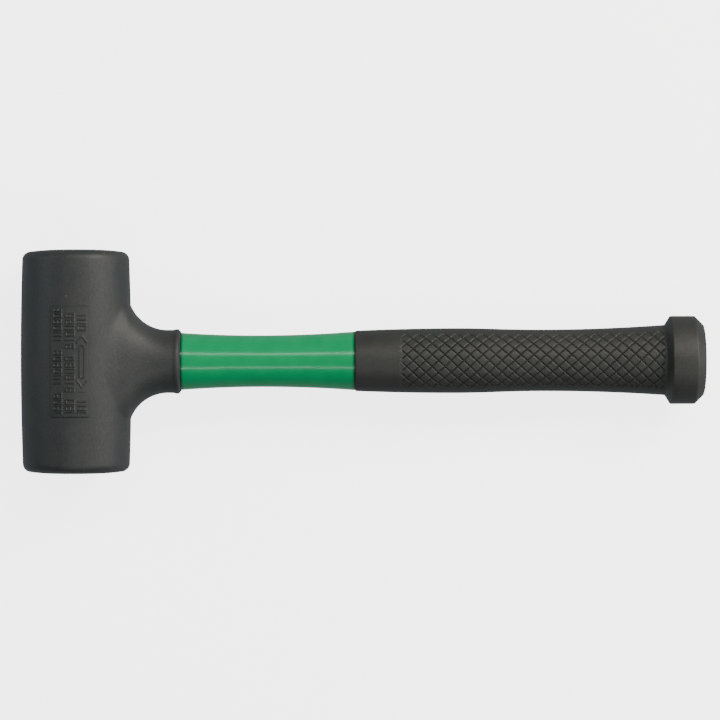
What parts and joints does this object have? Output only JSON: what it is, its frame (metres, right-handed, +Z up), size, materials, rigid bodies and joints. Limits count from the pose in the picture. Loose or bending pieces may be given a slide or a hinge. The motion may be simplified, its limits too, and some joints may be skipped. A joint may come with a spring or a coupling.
{
  "type": "dead blow mallet",
  "caption": "Double-faced dead blow mallet: rubber-covered barrel head over a sealed canister of loose steel balls, oval cored handle with a flared rubber grip.",
  "frame": {"origin": "middle of the footprint of the mallet as it lies on a bench, on the barrel of its head and the rim of its butt", "axes": "+X runs from the head to the butt, +Y along the head from one striking face to the other, +Z up from the bench"},
  "size_m": [0.3092, 0.101, 0.0504],
  "materials": {
    "head_rubber": "moulded, fine matt grain",
    "grip_rubber": "moulded, matt, cross-grooved on the upper and lower sides",
    "green_plastic": "moulded, glossy",
    "glass_fibre": "pultruded rod, long fibres in resin",
    "epoxy": "cured adhesive",
    "canister_steel": "drawn tube, welded and oiled",
    "ball_steel": "ground and tumbled balls"
  },
  "bodies": {
    "mallet": {"head_jacket": "head_rubber", "canister_tube": "canister_steel", "canister_cap_a": "canister_steel", "canister_cap_b": "canister_steel", "handle_socket": "canister_steel", "adhesive_bond": "epoxy", "socket_pin": "ball_steel", "handle_core": "glass_fibre", "handle_jacket": "green_plastic", "handle_grip": "grip_rubber"},
    "shot_charge": {"shot_ball_01": "ball_steel", "shot_ball_02": "ball_steel", "shot_ball_03": "ball_steel", "shot_ball_04": "ball_steel", "shot_ball_05": "ball_steel", "shot_ball_06": "ball_steel", "shot_ball_07": "ball_steel", "shot_ball_08": "ball_steel", "shot_ball_09": "ball_steel", "shot_ball_10": "ball_steel", "shot_ball_11": "ball_steel", "shot_ball_12": "ball_steel", "shot_ball_13": "ball_steel", "shot_ball_14": "ball_steel", "shot_ball_15": "ball_steel", "shot_ball_16": "ball_steel", "shot_ball_17": "ball_steel", "shot_ball_18": "ball_steel", "shot_ball_19": "ball_steel", "shot_ball_20": "ball_steel", "shot_ball_21": "ball_steel", "shot_ball_22": "ball_steel", "shot_ball_23": "ball_steel", "shot_ball_24": "ball_steel", "shot_ball_25": "ball_steel", "shot_ball_26": "ball_steel", "shot_ball_27": "ball_steel", "shot_ball_28": "ball_steel", "shot_ball_29": "ball_steel", "shot_ball_30": "ball_steel", "shot_ball_31": "ball_steel", "shot_ball_32": "ball_steel", "shot_ball_33": "ball_steel"}
  },
  "joints": [
    {"name": "shot_slide", "type": "slide", "parent": "mallet", "child": "shot_charge", "axis": [0, 1, 0], "range_m": [0, 0.0246]}
  ]
}
